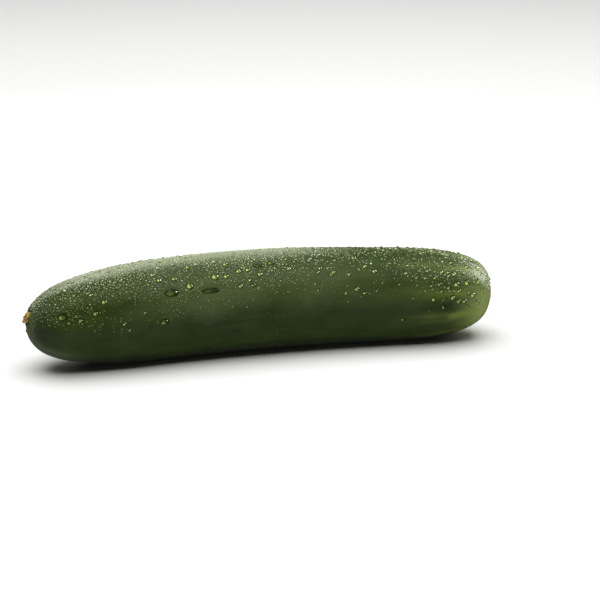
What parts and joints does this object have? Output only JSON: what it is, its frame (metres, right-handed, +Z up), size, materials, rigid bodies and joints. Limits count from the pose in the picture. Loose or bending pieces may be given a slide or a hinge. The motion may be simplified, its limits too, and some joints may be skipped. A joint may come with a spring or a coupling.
{
  "type": "cucumber",
  "caption": "Whole slicing cucumber with smooth, softly ribbed dark green skin, domed ends, a blossom scar and a short torn stem stub, gently bent and lying on its belly.",
  "frame": {"origin": "on the surface it lies on, under the middle of its bounding box", "axes": "+X from the stem end to the blossom end, +Y to the outer side of its bend, +Z up"},
  "size_m": [0.2348, 0.0538, 0.0484],
  "materials": {
    "skin": "waxy semi-gloss green skin",
    "stem": "dry fibrous stalk, matte",
    "water": "clear water beads lying on the skin"
  },
  "bodies": {
    "root": {"fruit": "skin", "stem_stub": "stem"}
  },
  "joints": []
}
